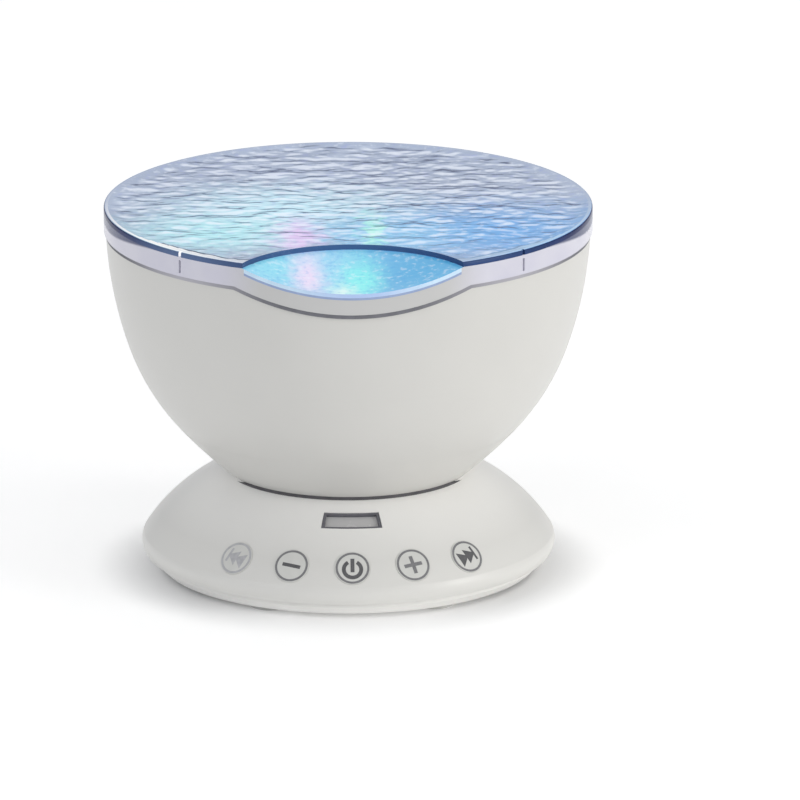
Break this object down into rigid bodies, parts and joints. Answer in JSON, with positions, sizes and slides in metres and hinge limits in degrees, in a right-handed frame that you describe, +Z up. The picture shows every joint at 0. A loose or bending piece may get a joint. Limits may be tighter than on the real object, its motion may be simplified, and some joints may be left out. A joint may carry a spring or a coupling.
{
  "type": "ocean wave projector",
  "caption": "Bowl-shaped night light that throws rippling coloured light through a clear wave cover, tilting on a domed base with push keys and a speaker.",
  "frame": {"origin": "centre of the base on the surface that it stands on", "axes": "+Z up along the bowl's axis, -Y to the front with the keys, +X to the right seen from the front"},
  "size_m": [0.15, 0.15, 0.115],
  "materials": {
    "white_abs": "satin moulded ABS",
    "key_abs": "satin moulded ABS with a printed ring and sign",
    "rim_acrylic": "milky translucent acrylic",
    "cover_acrylic": "clear rippled acrylic, lit from below",
    "disc_acrylic": "clear rippled acrylic",
    "nylon": "moulded nylon",
    "steel": "turned",
    "spring_steel": "blued",
    "motor_steel": "drawn can",
    "black_abs": "moulded ABS",
    "grey_abs": "moulded ABS",
    "bronze": "sintered",
    "board": "glass fibre board, lacquered",
    "red_lamp": "clear epoxy",
    "green_lamp": "clear epoxy",
    "blue_lamp": "clear epoxy",
    "foot_rubber": "moulded",
    "window_grey": "smoked polycarbonate",
    "chip_black": "moulded epoxy",
    "speaker_steel": "pressed and painted",
    "cone_paper": "pressed paper",
    "magnet": "ferrite",
    "socket_steel": "plated"
  },
  "bodies": {
    "base": {"base_top": "white_abs", "base_plate": "white_abs", "feet": "foot_rubber", "base_screws": "steel", "key_strip": "board", "key_switches": "black_abs", "ir_window": "window_grey", "ir_receiver": "chip_black", "speaker_frame": "speaker_steel", "speaker_cone": "cone_paper", "speaker_magnet": "magnet", "main_board": "board", "board_chips": "chip_black", "usb_socket": "socket_steel", "aux_jack": "black_abs"},
    "bowl": {"bowl_shell": "white_abs", "rim_ring": "rim_acrylic", "wave_cover": "cover_acrylic", "gearbox_case": "black_abs", "carrier_plate": "grey_abs", "shaft_bush": "bronze", "carrier_screws": "steel", "led_board": "board", "red_leds": "red_lamp", "green_leds": "green_lamp", "blue_leds": "blue_lamp", "motor_can": "motor_steel", "idler_axle": "steel", "tilt_stem": "steel", "pressure_plate": "nylon", "tilt_spring": "spring_steel", "tilt_nut": "steel"},
    "disc": {"wave_disc": "disc_acrylic", "disc_hub": "nylon", "disc_shaft": "steel", "output_gear": "nylon"},
    "idler": {"idler_gear": "nylon"},
    "motor_rotor": {"motor_shaft": "steel", "motor_pinion": "nylon"},
    "key_previous": {"key_previous": "key_abs"},
    "key_minus": {"key_minus": "key_abs"},
    "key_power": {"key_power": "key_abs"},
    "key_plus": {"key_plus": "key_abs"},
    "key_next": {"key_next": "key_abs"}
  },
  "joints": [
    {"name": "bowl_tilt", "type": "hinge", "parent": "base", "child": "bowl", "pos_m": [0, 0, 0.095], "axis": [1, 0, 0], "range_deg": [-20, 20]},
    {"name": "disc_spin", "type": "hinge", "parent": "bowl", "child": "disc", "pos_m": [0, 0, 0.1], "axis": [0, 0, 1], "continuous": true},
    {"name": "idler_spin", "type": "hinge", "parent": "bowl", "child": "idler", "pos_m": [0.0182, 0, 0.05], "axis": [0, 0, 1], "continuous": true},
    {"name": "motor_spin", "type": "hinge", "parent": "bowl", "child": "motor_rotor", "pos_m": [0.00244, 0.0091, 0.05], "axis": [0, 0, 1], "continuous": true},
    {"name": "press_previous", "type": "slide", "parent": "base", "child": "key_previous", "axis": [0.4553, 0.6175, -0.6415], "range_m": [0, 0.0005], "stiffness_N_per_m": 600},
    {"name": "press_minus", "type": "slide", "parent": "base", "child": "key_minus", "axis": [0.2396, 0.7288, -0.6415], "range_m": [0, 0.0005], "stiffness_N_per_m": 600},
    {"name": "press_power", "type": "slide", "parent": "base", "child": "key_power", "axis": [0, 0.7672, -0.6414], "range_m": [0, 0.0005], "stiffness_N_per_m": 600},
    {"name": "press_plus", "type": "slide", "parent": "base", "child": "key_plus", "axis": [-0.2396, 0.7288, -0.6415], "range_m": [0, 0.0005], "stiffness_N_per_m": 600},
    {"name": "press_next", "type": "slide", "parent": "base", "child": "key_next", "axis": [-0.4553, 0.6175, -0.6415], "range_m": [0, 0.0005], "stiffness_N_per_m": 600}
  ],
  "couplings": [
    {"joint": "idler_spin", "follows": "disc_spin", "ratio": -3.3333},
    {"joint": "motor_spin", "follows": "disc_spin", "ratio": 11.111}
  ]
}
